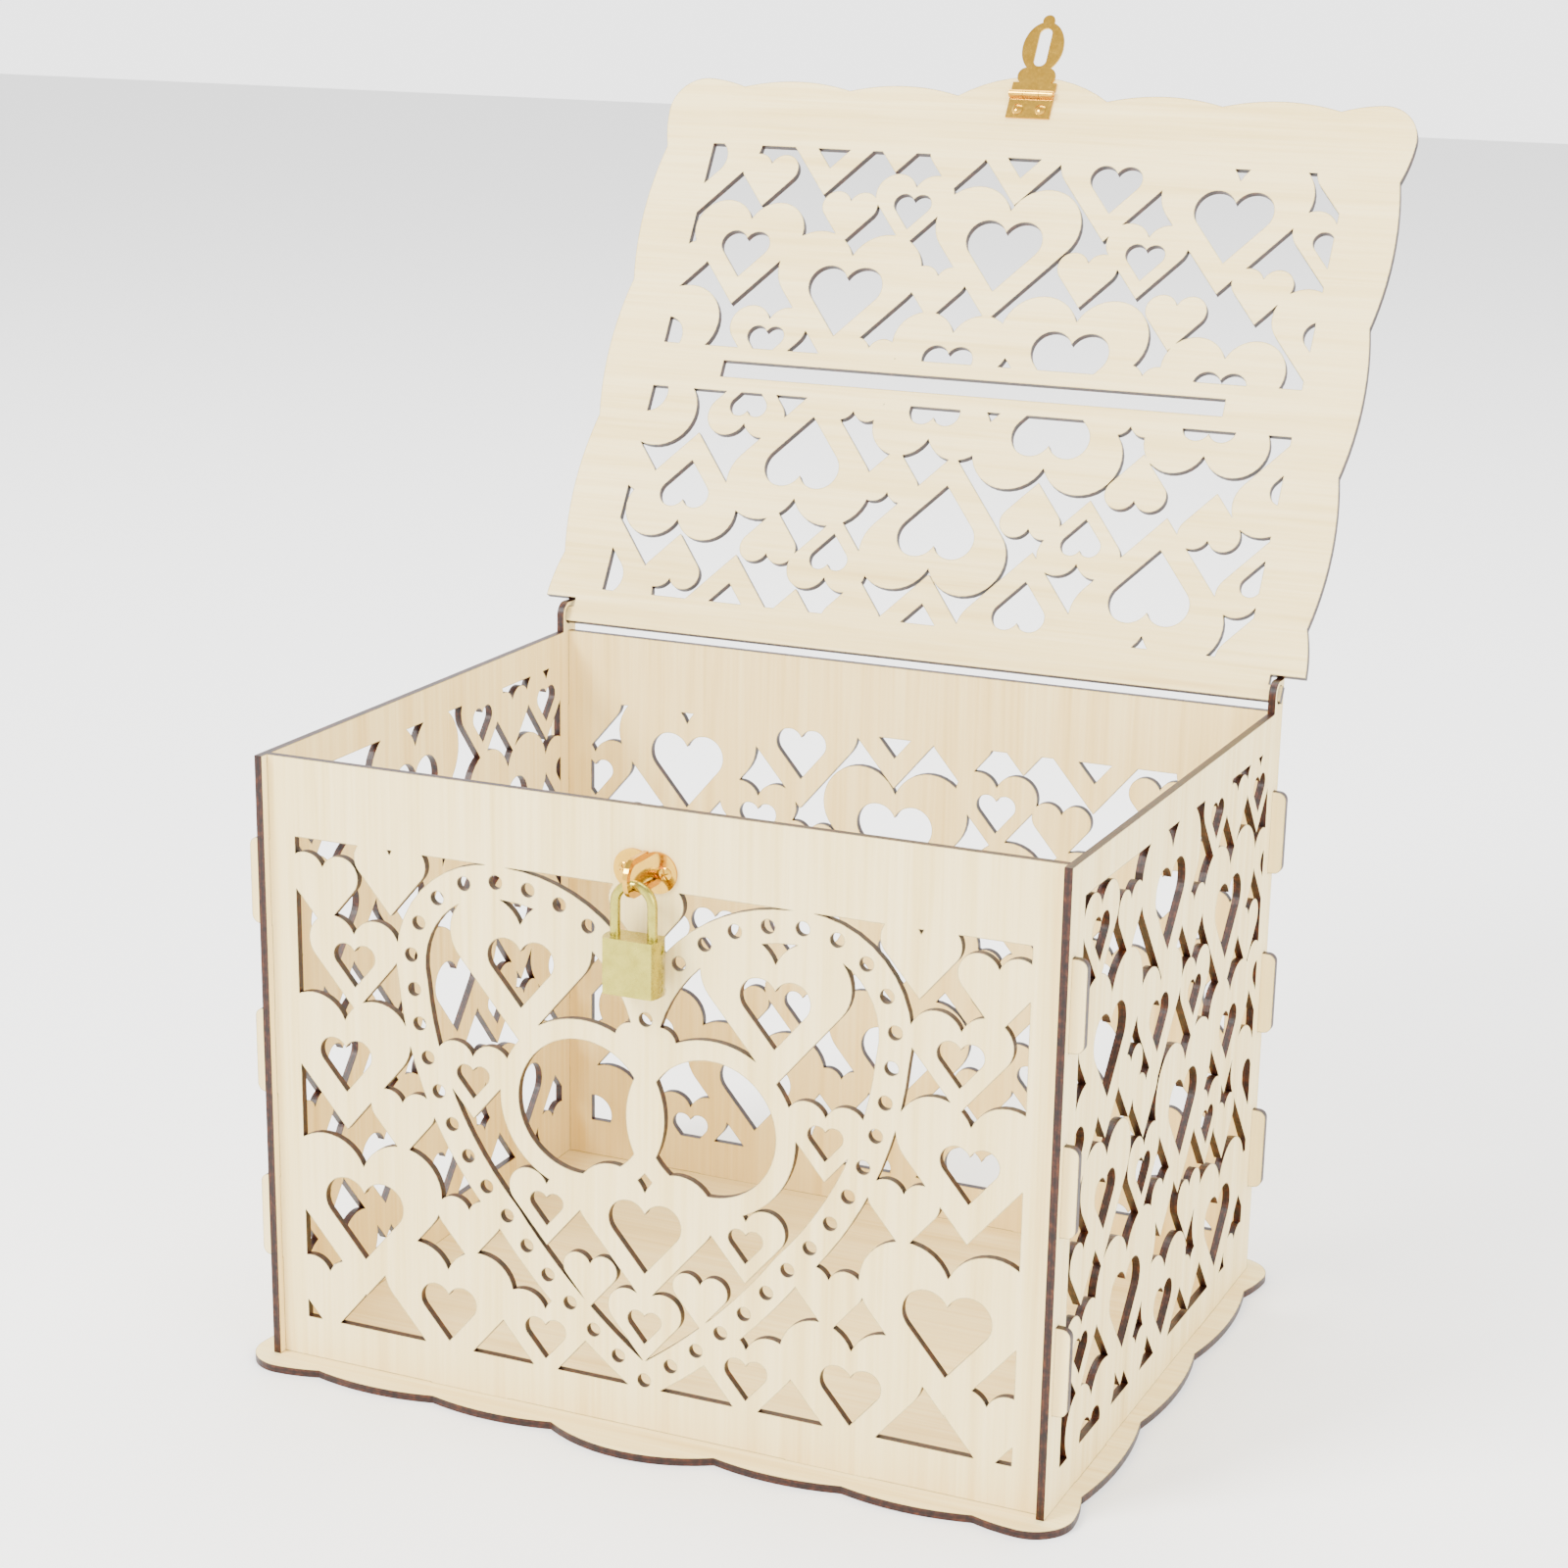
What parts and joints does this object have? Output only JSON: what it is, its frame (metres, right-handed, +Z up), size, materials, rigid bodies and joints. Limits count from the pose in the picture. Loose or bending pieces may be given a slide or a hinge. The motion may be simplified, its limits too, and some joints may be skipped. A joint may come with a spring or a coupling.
{
  "type": "card box",
  "caption": "Fretwork plywood box with a scalloped lid on flat pins, a card slot, and a brass hasp, staple and hanging padlock.",
  "frame": {"origin": "centre of the base plate's underside, which the box rests on", "axes": "+X to the right seen from the front, +Y to the back where the hinge is, +Z up"},
  "size_m": [0.2998, 0.3633, 0.4445],
  "materials": {
    "plywood": "bare sanded plywood with laser-burnt edges",
    "polished_brass": "polished",
    "brushed_brass": "brushed, pale",
    "turned_brass": "turned",
    "steel": "plain"
  },
  "bodies": {
    "box": {"base_plate": "plywood", "front_panel": "plywood", "back_panel": "plywood", "left_panel": "plywood", "right_panel": "plywood", "staple_plate": "polished_brass", "staple_loop": "polished_brass", "staple_screws": "polished_brass"},
    "lid": {"lid": "plywood", "hasp_leaf": "polished_brass", "hasp_hinge_pin": "polished_brass", "hasp_screws": "polished_brass"},
    "strap": {"hasp_strap": "polished_brass"},
    "shackle": {"padlock_shackle": "brushed_brass"},
    "case": {"padlock_case": "brushed_brass", "padlock_latch_spring": "steel", "padlock_bolt_bore_plug": "brushed_brass", "padlock_shackle_stop_pin": "steel", "padlock_plug_retainer": "steel", "padlock_driver_pins": "turned_brass", "padlock_driver_springs": "steel", "padlock_chamber_caps": "brushed_brass"},
    "plug": {"padlock_key_plug": "turned_brass", "padlock_key_pins": "turned_brass"},
    "bolt": {"padlock_latch_bolt": "turned_brass"}
  },
  "joints": [
    {"name": "lid_hinge", "type": "hinge", "parent": "box", "child": "lid", "pos_m": [0, 0.106, 0.2227], "axis": [1, 0, 0], "range_deg": [0, 122.2]},
    {"name": "strap_hinge", "type": "hinge", "parent": "lid", "child": "strap", "pos_m": [0, 0.21893, 0.41617], "axis": [1, 0, 0], "range_deg": [0, 103.7]},
    {"name": "padlock_swing", "type": "hinge", "parent": "box", "child": "shackle", "pos_m": [0, -0.1162, 0.19318], "axis": [-1, 0, 0], "range_deg": [-4, 100]},
    {"name": "case_drop", "type": "slide", "parent": "shackle", "child": "case", "axis": [0, 0, -1], "range_m": [0, 0.008]},
    {"name": "key_turn", "type": "hinge", "parent": "case", "child": "plug", "pos_m": [0, -0.1162, 0.15783], "axis": [0, 0, 1], "range_deg": [-90, 0]},
    {"name": "bolt_slide", "type": "slide", "parent": "case", "child": "bolt", "axis": [1, 0, 0], "range_m": [0, 0.002]}
  ],
  "couplings": [
    {"joint": "key_turn", "follows": "bolt_slide", "rad_per_m": -785.4}
  ]
}
